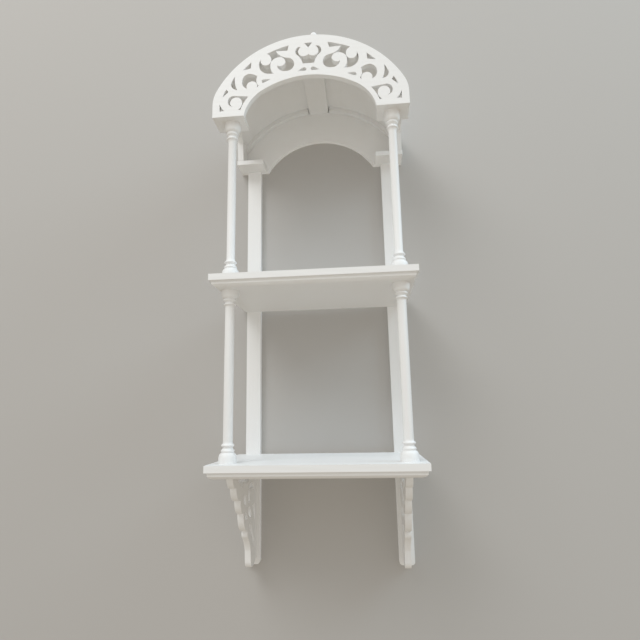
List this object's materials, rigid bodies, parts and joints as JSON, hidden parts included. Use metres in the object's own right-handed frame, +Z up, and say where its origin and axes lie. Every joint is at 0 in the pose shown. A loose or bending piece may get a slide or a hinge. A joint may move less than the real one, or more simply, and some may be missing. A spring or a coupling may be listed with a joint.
{
  "type": "wall curio shelf",
  "caption": "White painted wall curio shelf: step-edged shelves on turned spindles and flat stiles, a vaulted canopy with a fretwork arch and a finial, and pierced scalloped brackets.",
  "frame": {"origin": "on the wall plane, midway between the round parts of the two keyhole hangers", "axes": "+X to the right of someone facing the shelf, +Y into the wall, +Z up"},
  "size_m": [0.31, 0.199, 0.9315],
  "materials": {
    "white_paint": "satin white paint, brushed over sanded wood",
    "bare_wood": "unpainted, smooth",
    "zinc_steel": "zinc plated",
    "bright_steel": "drawn wire"
  },
  "bodies": {
    "root": {"arch_brads": "bright_steel", "back_arch_panel": "white_paint", "back_panel_screws": "zinc_steel", "bracket_left": "white_paint", "bracket_right": "white_paint", "bracket_screws": "zinc_steel", "capital_left": "white_paint", "capital_right": "white_paint", "cheek_left": "white_paint", "cheek_right": "white_paint", "crown_batten": "white_paint", "crown_finial": "white_paint", "foot_plate_left": "white_paint", "foot_plate_right": "white_paint", "front_arch_fretwork": "white_paint", "hanger_plate_left": "zinc_steel", "hanger_plate_right": "zinc_steel", "hanger_screws": "zinc_steel", "lower_shelf": "white_paint", "lower_spindle_left": "white_paint", "lower_spindle_right": "white_paint", "middle_shelf": "white_paint", "rear_rib_left": "white_paint", "rear_rib_right": "white_paint", "roof_brads": "bright_steel", "roof_panel": "white_paint", "shelf_screws": "zinc_steel", "stile_dowels": "bare_wood", "stile_left": "white_paint", "stile_right": "white_paint", "upper_spindle_left": "white_paint", "upper_spindle_right": "white_paint"}
  },
  "joints": []
}
